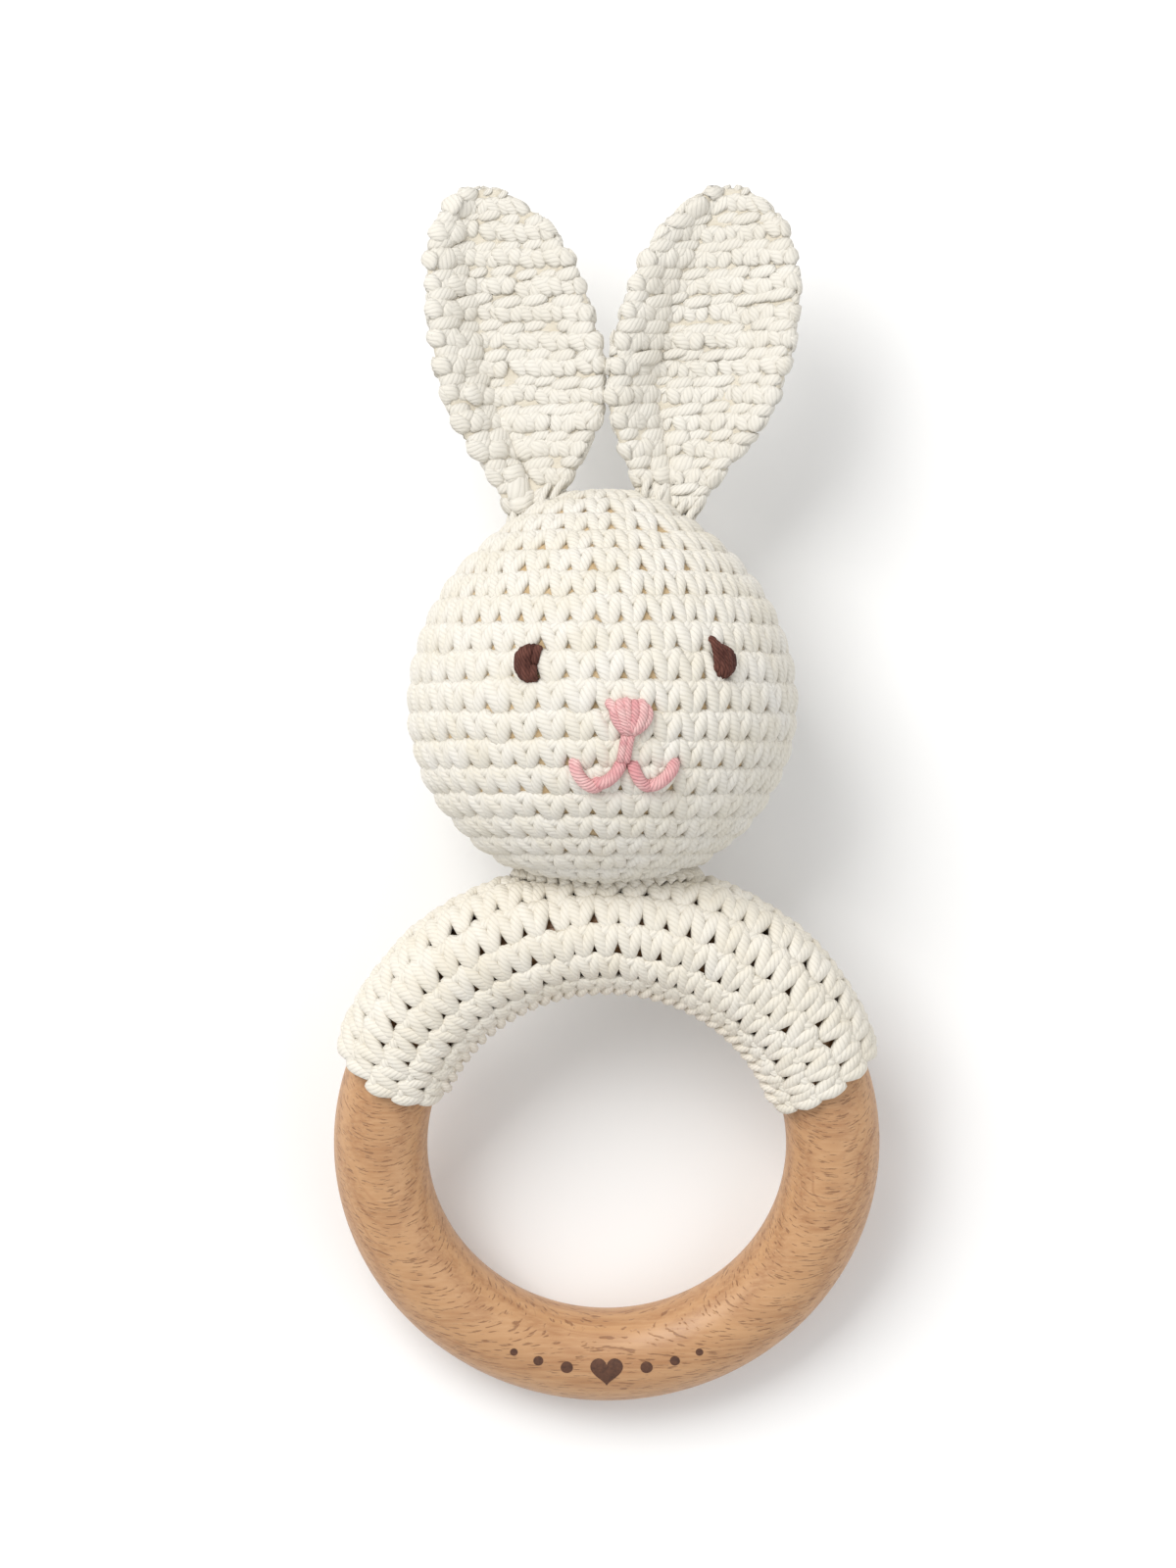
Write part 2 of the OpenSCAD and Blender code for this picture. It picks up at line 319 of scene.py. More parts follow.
class Build:
    """Gathers tubes of yarn, each with a yarn map and a cell of its own in the bake map."""

    def __init__(self):
        self.groups = []

    def tubes(self, paths, ups, radii, sides=7, tones=None, flat=1.0):
        """Tubes along paths (N, K, 3). radii is (N, K), ups the way each one's side 0 faces, and
        flat the share of its height that a tube keeps."""
        count = len(paths)
        step = unit(np.gradient(paths, axis=1))
        up = unit(ups - np.sum(ups * step, axis=-1, keepdims=True) * step)
        side = np.cross(step, up)
        turn = 2 * math.pi * np.arange(sides) / sides
        lift = flat * np.cos(turn)[None, None, :, None] * up[:, :, None]
        lift = lift + np.sin(turn)[None, None, :, None] * side[:, :, None]
        verts = paths[:, :, None] + radii[:, :, None, None] * lift

        legs = np.linalg.norm(np.diff(paths, axis=1), axis=-1)
        along = np.concatenate([np.zeros((count, 1)), np.cumsum(legs, axis=1)], axis=1)
        tones = np.zeros(count) if tones is None else tones
        self.groups.append(dict(verts=verts, along=along, tones=tones))

    def mesh(self, name, material):
        """Joins all the tubes into one piece."""
        parts, verts, tones = [], [], []
        first, strand = 0, 0
        for group in self.groups:
            shape = group["verts"].shape[:3]
            count, rings, sides = shape
            at = first + np.arange(count * rings * sides).reshape(shape)
            own = strand + np.arange(count)
            parts.append(tube_walls(at, group["along"], own))
            parts.append(tube_caps(at, group["along"], own, 0))
            parts.append(tube_caps(at, group["along"], own, 1))
            verts.append(group["verts"].reshape(-1, 3))
            tones.append(np.repeat(group["tones"], rings * sides))
            first += at.size
            strand += count

        corners, sizes, yarn_map, bake_map, cell = (np.concatenate(p) for p in zip(*parts))
        cells = math.ceil(math.sqrt(strand))
        place = np.stack([cell % cells, cell // cells], axis=-1)
        margin = 0.08
        bake_map = (place + margin + (1 - 2 * margin) * bake_map) / cells
        maps = {"yarn": yarn_map, "OFBake": bake_map}
        return to_mesh(name, np.concatenate(verts), corners, sizes, material, maps,
                       np.concatenate(tones))


def tube_walls(at, along, own):
    """The walls of tubes whose points are numbered at (tubes, rings, sides): their corners, face
    sizes, yarn map, bake map from 0 to 1, and the bake cell of each corner, which own gives."""
    sides = at.shape[2]
    here, there = at[:, :-1], at[:, 1:]
    quads = np.stack([here, np.roll(here, -1, 2), np.roll(there, -1, 2), there], axis=-1)
    u0 = np.broadcast_to(along[:, :-1, None], here.shape)
    u1 = np.broadcast_to(along[:, 1:, None], here.shape)
    v0 = np.broadcast_to(np.arange(sides) / sides, here.shape)
    v1 = v0 + 1 / sides
    yarn_map = np.stack([np.stack([u0, v0], -1), np.stack([u0, v1], -1),
                         np.stack([u1, v1], -1), np.stack([u1, v0], -1)], axis=-2)
    bake_map = yarn_map.copy()
    bake_map[..., 0] /= along[:, -1][:, None, None, None]
    cell = np.broadcast_to(own[:, None, None, None], quads.shape)
    return (quads.reshape(-1), np.full(here.size, 4), yarn_map.reshape(-1, 2),
            bake_map.reshape(-1, 2), cell.reshape(-1))


def tube_caps(at, along, own, end):
    """The same for the caps at the tubes' start, where end is 0, or at their end, where it is 1."""
    count, rings, sides = at.shape
    ring, step = (rings - 1, 1) if end else (0, -1)
    corners = at[:, ring, ::step]
    turn = np.broadcast_to((np.arange(sides) / sides)[::step], corners.shape)
    yarn_map = np.stack([np.broadcast_to(along[:, ring, None], corners.shape), turn], -1)
    rim = 0.02
    across = rim + (1 - 2 * rim) * end - step * rim * np.cos(2 * math.pi * turn)
    bake_map = np.stack([across, 0.5 + 0.5 * np.sin(2 * math.pi * turn)], -1)
    return (corners.reshape(-1), np.full(count, sides), yarn_map.reshape(-1, 2),
            bake_map.reshape(-1, 2), np.repeat(own, sides))


def to_mesh(name, verts, corners, sizes, material, maps=None, tones=None):
    """A smooth mesh object in metres from flat arrays in millimetres."""
    mesh = bpy.data.meshes.new(name)
    mesh.vertices.add(len(verts))
    mesh.vertices.foreach_set("co", (verts * MM).astype(np.float32).ravel())
    mesh.loops.add(len(corners))
    mesh.loops.foreach_set("vertex_index", corners.astype(np.int32))
    mesh.polygons.add(len(sizes))
    starts = np.concatenate([[0], np.cumsum(sizes)[:-1]])
    mesh.polygons.foreach_set("loop_start", starts.astype(np.int32))
    mesh.update(calc_edges=True)
    mesh.polygons.foreach_set("use_smooth", np.ones(len(sizes), bool))
    for key, values in (maps or {}).items():
        layer = mesh.uv_layers.new(name=key)
        layer.data.foreach_set("uv", values.astype(np.float32).ravel())
    if tones is not None:
        layer = mesh.attributes.new("stitch", "FLOAT", "POINT")
        layer.data.foreach_set("value", tones.astype(np.float32))
    mesh.validate()
    mesh.materials.append(material)
    piece = bpy.data.objects.new(name, mesh)
    bpy.context.scene.collection.objects.link(piece)
    return piece


def grid(name, points, material, wrap_v=False):
    """A closed skin over points (rows, columns, 3). The columns go all the way round, and the rows
    do too where wrap_v is true, or else they end in flat caps."""
    margin = 0.02
    rows, cols = points.shape[:2]
    at = np.arange(rows * cols).reshape(rows, cols)
    here, there = (at, np.roll(at, -1, 0)) if wrap_v else (at[:-1], at[1:])
    quads = np.stack([here, np.roll(here, -1, 1), np.roll(there, -1, 1), there], axis=-1)
    n_rows = quads.shape[0]
    v, u = np.meshgrid(np.arange(n_rows) / n_rows, np.arange(cols) / cols, indexing="ij")
    dv, du = 1 / n_rows, 1 / cols
    uv = np.stack([np.stack([u, v], -1), np.stack([u + du, v], -1),
                   np.stack([u + du, v + dv], -1), np.stack([u, v + dv], -1)], axis=-2)
    corners, sizes, maps = [quads.reshape(-1)], [np.full(n_rows * cols, 4)], [uv.reshape(-1, 2)]
    if not wrap_v:
        for ring, flip, end in ((at[0], -1, 0.0), (at[-1], 1, 1.0)):
            corners.append(ring[::flip])
            sizes.append(np.array([cols]))
            maps.append(np.stack([np.arange(cols) / cols, np.full(cols, end)], -1))
    uv = margin + (1 - 2 * margin) * np.concatenate(maps)
    return to_mesh(name, points.reshape(-1, 3), np.concatenate(corners), np.concatenate(sizes),
                   material, {"OFBake": uv})


# ---------------------------------------------------------------- surfaces to work on

def normals(surface, u, v, du, dv):
    """The outward normal of surface(u, v), from its slopes, and the millimetres it runs for each
    unit of u."""
    across = surface(u + du, v) - surface(u - du, v)
    up = surface(u, v + dv) - surface(u, v - dv)
    return unit(np.cross(across, up)), np.linalg.norm(across, axis=-1) / (2 * du)


def crown_lift(radius):
    """How far the crown is drawn up at this distance from its middle."""
    return CROWN_LIFT * np.exp(-(radius / 10.5) ** 4)


def egg_profile(inset):
    """Arc lengths down from the widest round, and the radius and height there, less inset."""
    a = np.linspace(math.pi / 2, -math.pi / 2, 1500)
    tall = np.where(a > 0, HEAD_UP, HEAD_DOWN) - inset
    r, y = (HEAD_R - inset) * np.cos(a), tall * np.sin(a)
    y = y + np.where(a > 0, crown_lift(r), 0)
    arc = np.concatenate([[0], np.cumsum(np.hypot(np.diff(r), np.diff(y)))])
    return arc - np.interp(0, -y, arc), r, y


def head_surface(inset, turn):
    """surface(u, v): u goes once round from turn degrees, v is millimetres below the widest round."""
    arc, r, y = egg_profile(inset)

    def surface(u, v):
        angle = np.radians(turn) + 2 * math.pi * u
        radius, height = np.interp(v, arc, r), np.interp(v, arc, y)
        out = np.stack([radius * np.sin(angle), height, radius * np.cos(angle)], axis=-1)
        return HEAD + out
    return surface


def ring_point(theta, alpha, rho):
    """The point at an angle round the ring from +X, an angle round the tube from the outside over
    the top, both in degrees, and a distance from the tube's middle."""
    theta, alpha = np.radians(theta), np.radians(alpha)
    reach = TUBE_MID + rho * np.cos(alpha)
    x, y, z = reach * np.cos(theta), reach * np.sin(theta), rho * np.sin(alpha)
    tilted_y = y * math.cos(TILT) - z * math.sin(TILT)
    tilted_z = y * math.sin(TILT) + z * math.cos(TILT)
    return RING + np.stack([x + 0 * z, tilted_y, tilted_z], axis=-1)


def clear_of_neck(points, least=SEAT_R):
    """Pushes points near the neck along +Y, so that they stay clear of the sleeve and its seam."""
    dz = points[..., 2] - PIVOT[2]
    floor_y = PIVOT[1] + np.sqrt(np.maximum(least ** 2 - dz ** 2, 0))
    inside = np.abs(dz) < least
    points[..., 1] = np.where(inside, np.maximum(points[..., 1], floor_y), points[..., 1])
    return points


# ---------------------------------------------------------------- crochet

# One leg of a stitch's V as (across, up, out, radius): across in stitch widths, up in
# row heights, out and radius in millimetres. The other leg is its mirror image.
LEG = [(0.085, -0.10, -0.50, 0.72), (0.100, 0.06, 0.00, 0.88), (0.150, 0.26, 0.20, 0.98),
       (0.235, 0.48, 0.30, 1.05), (0.330, 0.70, 0.32, 1.08), (0.405, 0.90, 0.22, 1.00),
       (0.440, 1.06, -0.12, 0.82)]
# The loop that lies across the top of a stitch, between its legs.
LOOP = [(-0.38, 0.78, -0.25, 0.68), (-0.18, 0.83, 0.12, 0.88), (0.00, 0.86, 0.24, 0.94),
        (0.18, 0.88, 0.12, 0.88), (0.38, 0.92, -0.25, 0.68)]
# The knot that shows in place of a stitch on every second row of the ears.
KNOT = [(-0.60, 0.28, -0.50, 0.62), (-0.30, 0.38, 0.16, 0.82), (0.04, 0.50, 0.32, 0.92),
        (0.34, 0.62, 0.16, 0.82), (0.60, 0.74, -0.50, 0.62)]
# How much a stitch differs from the next one: its place in stitches, its lean, its thickness
# as a share, and its tone.
UNEVEN_PLACE = 0.035
UNEVEN_LEAN = 0.06
UNEVEN_THICKNESS = 0.045
UNEVEN_TONE = 0.12
FULLEST = 1.12         # the most that the yarn swells in a wide stitch
FOOT_SPREAD = 0.11     # how far a leg's foot moves out where closed is 1, in stitch widths


def stitches(build, surface, rows, seed, full_width=3.4, relief=1.0, thick=1.0, loose=1.0,
             shape=None, leg_rings=8, loop_rings=6, flat=0.76, ends=None, closed=0.0, knots=False):
    """Rows of stitches on surface(u, v). A row is (v at its foot, v at its top, u where it starts,
    u where it ends, count). A stitch full_width wide has yarn of full size, thick scales it, and
    flat and relief press it flat. loose makes the stitches uneven, closed spreads each V's foot
    and so closes the hole beside it, shape moves the finished points, and ends holds u between two
    limits."""
    rng = np.random.default_rng(seed)
    leg, loop, knot = smooth(LEG, leg_rings), smooth(LOOP, loop_rings), smooth(KNOT, loop_rings)
    leg[:, 0] += closed * FOOT_SPREAD * np.clip(1 - leg[:, 1], 0, 1)
    mirrored = leg * np.array([-1, 1, 1, 1])
    kinds = [(knot, 7)] if knots else [(leg, 7), (mirrored, 7), (loop, 6)]
    for low, high, start, end, count in rows:
        width = (end - start) / count
        middle = start + (np.arange(count) + 0.5) * width
        shift = rng.normal(0, UNEVEN_PLACE * loose, (count, 3))
        lean = rng.normal(0, UNEVEN_LEAN * loose, count)
        fat = 1 + rng.normal(0, UNEVEN_THICKNESS, count)
        tones = rng.normal(0, UNEVEN_TONE, count)
        _, length = normals(surface, middle, np.full(count, (low + high) / 2), width / 8,
                            (high - low) / 8)
        broad = length * abs(width)
        size = np.minimum(broad / full_width, FULLEST) * thick
        for strand, sides in kinds:
            across, up, out, radius = strand.T
            up_here = up + shift[:, 1:2]
            du = across + shift[:, 0:1] + lean[:, None] * (up - 0.5)
            u = middle[:, None] + du * width
            if ends is not None:
                u = np.clip(u, *ends)
            v = low + up_here * (high - low)
            normal, _ = normals(surface, u, v, abs(width) / 10, abs(high - low) / 10)
            if (high - low) * width < 0:
                normal = -normal
            points = surface(u, v) + normal * ((out * relief)[None] + shift[:, 2:3])[..., None]
            if shape is not None:
                points = shape(points)
            radii = radius[None] * (size * fat)[:, None]
            build.tubes(points, normal, radii, sides, tones, flat=flat)


def rest_on_table(points, lift=0.98):
    """Holds the middle of the yarn no lower than lift above the table."""
    points[..., 2] = np.maximum(points[..., 2], lift)
    return points


def strands(build, surface_point, lines, radius, count, seed):
    """Strands of yarn through (x, y, out) points, as surface_point places them, thinner at their
    ends."""
    rng = np.random.default_rng(seed)
    tones = rng.normal(0, UNEVEN_TONE, len(lines))
    paths, ups = [], []
    for line in lines:
        x, y, out = smooth(line, count).T
        spot, normal = surface_point(x, y)
        paths.append(spot + normal * out[:, None])
        ups.append(normal)
    paths, ups = np.array(paths), np.array(ups)
    ends = np.ones(count)
    ends[[0, -1]] = 0.7
    radii = np.broadcast_to(ends * radius, paths.shape[:2])
    build.tubes(paths, ups, radii, tones=tones)


# ---------------------------------------------------------------- the materials used

CREAM = yarn("cream_cotton", srgb(234, 231, 225), srgb(222, 215, 200))
HEAD_CREAM = yarn("head_cotton", srgb(231, 229, 226), srgb(220, 214, 200))
EAR_CREAM = yarn("ear_cotton", srgb(230, 227, 220), srgb(218, 213, 202))
SEWING = yarn("sewing_cotton", srgb(237, 231, 222), srgb(222, 214, 199), lay=3.0)
# Painted shade: the head's fill is tan, darker than white fibrefill, to stand for the shade seen
# through the holes between stitches.
FILL_PAINTED_SHADE = fibrefill("fibrefill", srgb(214, 191, 155), srgb(192, 166, 128))
EAR_LINING = fibrefill("ear_lining", srgb(226, 219, 204), srgb(214, 205, 187))
BROWN = yarn("brown_thread", srgb(132, 86, 74), srgb(66, 34, 28), lay=4.0, relief=0.12, tone=0.12,
             sheen=0.0, patches=0.7)
PINK = yarn("pink_thread", srgb(250, 220, 214), srgb(214, 150, 153), lay=2.6, relief=0.12, tone=0.12,
            sheen=0.05, patches=0.7)
WOOD = beech("beech_wood")
SCORCH = scorched("scorched_wood")


# ---------------------------------------------------------------- ring

# The mark is this far round the tube, so that it faces up, and stands this little proud.
MARK_ALPHA = 92
MARK_PROUD = 0.03
HEART_TALL = 4.6
# The dots on each side of the heart: how far off and how large.
DOTS = [(5.2, 0.8), (9.0, 0.65), (12.4, 0.5)]


def make_ring():
    theta = np.linspace(0, 360, 288, endpoint=False)[:, None]
    alpha = np.linspace(0, 360, 64, endpoint=False)[None, :]
    points = ring_point(theta + 0 * alpha, alpha + 0 * theta, TUBE_R + 0 * alpha)
    ring = grid("wood_ring", points, WOOD, wrap_v=True)
    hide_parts("wooden_ring")
    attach(ring, "ring")


def ring_patch(outline):
    """Flat points, in millimetres along and across the tube, laid on the ring's foot."""
    along, across = outline.T
    theta = -90 + np.degrees(along / TUBE_MID)
    alpha = MARK_ALPHA + np.degrees(across / TUBE_R)
    return ring_point(theta, alpha, np.full(len(along), TUBE_R + MARK_PROUD))


def patches_on_ring(name, outlines, material):
    """Thin patches on the ring, one for each (outline, middle), made of three rims round it."""
    verts, corners, sizes, uvs = [], [], [], []
    first = 0
    for outline, middle in outlines:
        n = len(outline)
        rims = [middle + (outline - middle) * s for s in (0.34, 0.67, 1.0)]
        flat = np.vstack([[middle], *rims])
        span = np.abs(flat - middle).max() * 2.2
        verts.append(ring_patch(flat))
        at = first + 1 + np.arange(3 * n).reshape(3, n)
        after = np.roll(at, -1, 1)
        uv = (flat - middle) / span + 0.5
        faces = [[first, at[0, k], after[0, k]] for k in range(n)]
        faces += [[at[j, k], at[j + 1, k], after[j + 1, k], after[j, k]]
                  for j in range(2) for k in range(n)]
        for face in faces:
            corners += face
            sizes.append(len(face))
            uvs += [uv[i - first] for i in face]
        first += len(flat)
    return to_mesh(name, np.vstack(verts), np.array(corners), np.array(sizes), material,
                   {"OFBake": np.array(uvs)})


def make_mark():
    """A small burnt heart with three dots on each side."""
    t = np.linspace(0, 2 * math.pi, 40, endpoint=False)
    round_dot = np.stack([np.cos(t[::2]), np.sin(t[::2])], -1)
    heart = np.stack([16 * np.sin(t) ** 3,
                      13 * np.cos(t) - 5 * np.cos(2 * t) - 2 * np.cos(3 * t) - np.cos(4 * t)], -1)
    curve_tall = 34
    outlines = [(heart * (HEART_TALL / curve_tall), np.array([0.0, 0.1]))]
    for side in (1, -1):
        for x, r in DOTS:
            middle = np.array([side * x, 0.0])
            outlines.append((middle + r * round_dot, middle))
    mark = patches_on_ring("ring_mark", outlines, SCORCH)
    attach(mark, "ring")


# ---------------------------------------------------------------- sleeve

# The sleeve covers the ring between these angles.
SLEEVE_FROM = 17.0
SLEEVE_TO = 159.0
# Its rows lie side by side between these angles round the tube, from one edge to the other.
SLEEVE_START = 157.0
SLEEVE_END = -175.0
SLEEVE_ROWS = 11
SLEEVE_COLUMNS = 27
SLEEVE_RHO = TUBE_R + 0.92
SEAM_WHIPS = 34


def sleeve_end(first, alpha):
    """Where the sleeve starts or ends round the ring, in degrees. Its ends aren't square: they
    reach further or less far on the outside of the ring, by the cosines, and on top, by the sines."""
    alpha = np.radians(alpha)
    if first:
        return SLEEVE_FROM + 1.2 + 3.0 * np.cos(alpha) - 0.7 * np.sin(alpha)
    return SLEEVE_TO - 1.7 - 1.1 * np.cos(alpha) + 5.0 * np.sin(alpha)


def sleeve_surface(u, v):
    """u goes from 0 at the left end to 1 at the right one, v is degrees round the tube, backwards.
    The sleeve is slack on the outside of the ring, away from the neck and from its own ends."""
    left, right = sleeve_end(False, -v), sleeve_end(True, -v)
    theta = left + (right - left) * u
    off = np.abs(theta - 90)
    past_neck = np.clip((off - 12) / 9, 0, 1)
    short_of_end = np.clip((74 - off) / 34, 0, 1)
    loose = 0.35 + 1.15 * past_neck * short_of_end
    outward = np.clip(np.cos(np.radians(v)), 0, 1) ** 0.8
    return ring_point(theta, -v, SLEEVE_RHO + loose * outward)


def hug_wood(points):
    """Keeps the sleeve's yarn from sinking into the wood."""
    least = TUBE_R + 0.62
    local = points - RING
    y = local[..., 1] * math.cos(TILT) + local[..., 2] * math.sin(TILT)
    z = -local[..., 1] * math.sin(TILT) + local[..., 2] * math.cos(TILT)
    reach = np.hypot(local[..., 0], y)
    alpha = np.arctan2(z, reach - TUBE_MID)
    rho = np.hypot(z, reach - TUBE_MID)
    theta = np.arctan2(y, local[..., 0])
    rho = np.maximum(rho, least)
    return ring_point(np.degrees(theta), np.degrees(alpha), rho)


def make_sleeve():
    build = Build()
    pitch = (SLEEVE_START - SLEEVE_END) / SLEEVE_ROWS
    rows = []
    for k in range(SLEEVE_ROWS):
        low = -SLEEVE_START + k * pitch
        rows.append((low, low + pitch, 0.0, 1.0, SLEEVE_COLUMNS))
    same = dict(full_width=3.4, relief=0.6, loose=1.3, shape=hug_wood, ends=(0.008, 0.992))
    # The row beside the seam is drawn tight.
    stitches(build, sleeve_surface, rows[:1], seed=12, thick=1.2, closed=1.0, **same)
    stitches(build, sleeve_surface, rows[1:], seed=11, thick=1.1, closed=-0.2, **same)
    sleeve = build.mesh("sleeve_yarn", CREAM)
    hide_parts("sleeve_cover")
    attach(sleeve, "sleeve")


def make_sleeve_seam():
    """Whip stitches over the sleeve's upper edge, along its inner side."""
    def place(x, y):
        rho = np.full(len(x), TUBE_R + 1.1)
        spot = ring_point(x, y, rho)
        return spot, unit(ring_point(x, y, rho + 1) - spot)

    build = Build()
    whips = []
    for k in range(SEAM_WHIPS):
        at = SLEEVE_FROM + 1.5 + (SLEEVE_TO - SLEEVE_FROM - 3) * (k + 0.5) / SEAM_WHIPS
        wobble = 0.5 * math.sin(k * 2.4)
        whips.append([(at - 1.9, 138 + wobble, -0.9), (at - 1.1, 143, 0.1),
                      (at, 150 + wobble, 0.55), (at + 1.1, 158, 0.25),
                      (at + 1.9, 164 + wobble, -0.8)])
    strands(build, place, whips, 0.62, count=9, seed=21)
    seam = build.mesh("sleeve_whips", SEWING)
    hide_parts("sleeve_seam")
    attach(seam, "sleeve")


# ---------------------------------------------------------------- head

ROW = 3.47             # from one round to the next along the fabric
HEAD_TOP_ROW = 3.7     # the rows above the widest one are stretched
ROW_SHIFT = 1.0        # the two kinds of row meet this far below the widest round
TOP_ROWS = 10
# Stitches in each round, from the crown to the neck.
HEAD_COUNTS = [6, 12, 18, 24, 30, 36, 42, 42, 42, 42, 42, 42, 42, 42, 36, 36, 30, 24, 20, 14]
NECK_ROUNDS = 3        # the last rounds are drawn tight
FACE_COLUMN = FACE_TURN - 0.2 * 360 / max(HEAD_COUNTS)  # where each round starts, in degrees


def shape_head(points):
    return rest_on_table(clear_of_neck(points))


def make_head():
    build = Build()
    surface = head_surface(YARN_DEPTH, FACE_COLUMN)
    above = HEAD_TOP_ROW * (np.arange(TOP_ROWS) - TOP_ROWS)
    below = ROW * np.arange(len(HEAD_COUNTS) - TOP_ROWS + 1)
    edges = ROW_SHIFT + np.concatenate([above, below])
    rows = [(edges[k], edges[k - 1], 0.0, 1.0, n) for k, n in enumerate(HEAD_COUNTS)]
    crown = egg_profile(YARN_DEPTH)[0][0]
    rows[0] = (edges[0], crown + 0.5, 0.0, 1.0, HEAD_COUNTS[0])
    round_head, round_neck = rows[:-NECK_ROUNDS], rows[-NECK_ROUNDS:]
    stitches(build, surface, round_head, seed=5, shape=shape_head, closed=-0.15)
    stitches(build, surface, round_neck, seed=6, shape=shape_head, closed=1.0, thick=1.1)
    head = build.mesh("head_yarn", HEAD_CREAM)
    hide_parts("head_cover")
    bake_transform(head)


def make_stuffing():
    """Fibrefill that presses out against the back of the stitches, in soft lumps. Its tan colour is
    painted shade: white fibrefill as it looks in shadow through the holes.
    """
    inset = YARN_DEPTH - 0.1
    surface = head_surface(inset, 0.0)
    arc = egg_profile(inset)[0]
    v = np.linspace(arc[0] + 0.35, arc[-1] - 0.35, 90)[:, None]
    u = np.linspace(0, 1, 140, endpoint=False)[None, :]
    points = surface(u + 0 * v, v + 0 * u)
    rng = np.random.default_rng(3)
    lumps = rng.normal(0, 0.12, points.shape[:2])
    for _ in range(3):
        lumps = (lumps + np.roll(lumps, 1, 1) + np.roll(lumps, -1, 1)) / 3
    points = points + unit(points - HEAD) * (lumps - np.abs(lumps))[..., None]
    points = rest_on_table(clear_of_neck(points, SEAT_R + 0.2), lift=0.4)
    fill = grid("head_fill", points, FILL_PAINTED_SHADE)
    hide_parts("head_stuffing")
    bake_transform(fill)


def make_neck_seam():
    """Whip stitches that sew the head's open edge to the sleeve, all round a long oval."""
    build = Build()
    count = 40
    half_long, half_wide = 10.9, 5.1
    seam_rho = 8.35        # from the middle of the ring's tube
    # One whip as (along the seam in whips, out of the oval, up from the seam).
    whip = smooth([(-0.6, 0.9, -0.36), (-0.3, 0.5, 0.18), (0.0, 0.0, 0.36), (0.3, -0.6, 0.18),
                   (0.6, -1.0, -0.36)], 9)
    paths, ups = [], []
    for k in range(count):
        turn = 2 * math.pi * (k + 0.5 + whip[:, 0]) / count
        x = (half_long + whip[:, 1]) * np.cos(turn)
        z = (half_wide + whip[:, 1] * 0.7) * np.sin(turn)
        lift = np.sqrt((seam_rho + whip[:, 2]) ** 2 - z ** 2)
        # The whips at the seam's ends follow the ring's curve nearly half of the way down.
        drop = TUBE_MID - np.sqrt(TUBE_MID ** 2 - x ** 2)
        spot = PIVOT + np.stack([x, lift - 0.45 * drop, z], -1)
        out = unit(np.stack([0 * x, lift, z], -1))
        paths.append(spot)
        ups.append(out)
    paths, ups = np.array(paths), np.array(ups)
    radii = np.full(paths.shape[:2], 0.68)
    build.tubes(paths, ups, radii)
    seam = build.mesh("neck_whips", CREAM)
    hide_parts("neck_seam")
    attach(seam, "neck")


# ---------------------------------------------------------------- ears

EAR_BASE = 36.2        # Y at an ear's foot, inside the crown
EAR_TOP = 77.6         # and at its tip
# Half of the ear's width at even steps from its foot to its tip.
EAR_HALF = [3.2, 4.9, 7.4, 9.3, 10.2, 10.35, 10.2, 9.6, 8.5, 6.2, 1.4]
EAR_ROWS = 24
EAR_THICK = 0.75       # half of the thickness that the stitches are worked on


class Ear:
    """An ear's shape: x at its root, how far its tip leans and bends to the side, how wide it is
    and how deep its fold is."""

    def __init__(self, root, lean, bend, wide, fold):
        self.root, self.lean, self.bend, self.fold = root, lean, bend, fold
        self.half = smooth([(h,) for h in EAR_HALF], 200)[:, 0] * wide

    def half_width(self, t):
        return np.interp(t, np.linspace(0, 1, 200), self.half)

    def middle(self, s, t):
        """The point of the ear's middle layer at s across, from -1 to 1, and t up, from 0 to 1.
        The sides curl up towards the face, a crease runs from the foot to the left and fades out,
        and the left edge rolls over."""
        half = self.half_width(t)
        x = self.root + self.lean * t + self.bend * t ** 2 + s * half
        y = EAR_BASE + (EAR_TOP - EAR_BASE) * t
        cup = 3.6 * (half / 11) ** 2 * s ** 2
        crease = -0.02 - 0.42 * np.clip(t / 0.35, 0, 1) ** 0.8
        crease_wide = 0.13 + 0.14 * t
        crease_deep = self.fold * (2.2 * np.exp(-t / 0.16) + 1 - 0.7 * t)
        fold = crease_deep * np.exp(-((s - crease) / crease_wide) ** 2)
        roll = 0.5 * np.exp(-((s + 0.86) / 0.24) ** 2) * np.clip(t * 4, 0, 1)
        z = HEAD[2] + cup - fold + roll
        return np.stack([x, y + 0 * s, z], axis=-1)

    def surface(self, thick):
        """surface(u, t): u goes once round the flattened tube, from its right edge over the front.
        The way round is half a bend, the flat front, the left bend, the flat back and half a bend."""
        def at(u, t):
            half = np.maximum(self.half_width(t) - thick, 0.4)
            flat, bend = 2 * half, math.pi * thick
            path = np.mod(u, 1) * (2 * flat + 2 * bend)
            path = np.where(path > 2 * flat + 1.5 * bend, path - (2 * flat + 2 * bend), path)
            front = path - bend / 2
            left = front - flat
            back = left - bend
            right = back - flat
            arc_right = np.clip(np.where(path < bend / 2, path, 0), -bend / 2, bend / 2) / thick
            arc_left = np.clip(left, 0, bend) / thick
            s = np.where(front < 0, half + thick * np.cos(arc_right),
                         np.where(left < 0, half - front,
                                  np.where(back < 0, -half - thick * np.sin(arc_left),
                                           np.where(right < 0, back - half, half))))
            lift = np.where(front < 0, thick * np.sin(arc_right),
                            np.where(left < 0, thick,
                                     np.where(back < 0, thick * np.cos(arc_left), -thick)))
            return self.layer(s / (half + thick), t, lift)[0]
        return at

    def layer(self, s, t, lift):
        """The point lift in front of the middle layer, and the way the front faces there."""
        e = 0.02
        across = self.middle(s + e, t) - self.middle(s - e, t)
        up = self.middle(s, t + e) - self.middle(s, t - e)
        normal = unit(np.cross(across, up))
        return self.middle(s, t) + normal * lift[..., None], normal


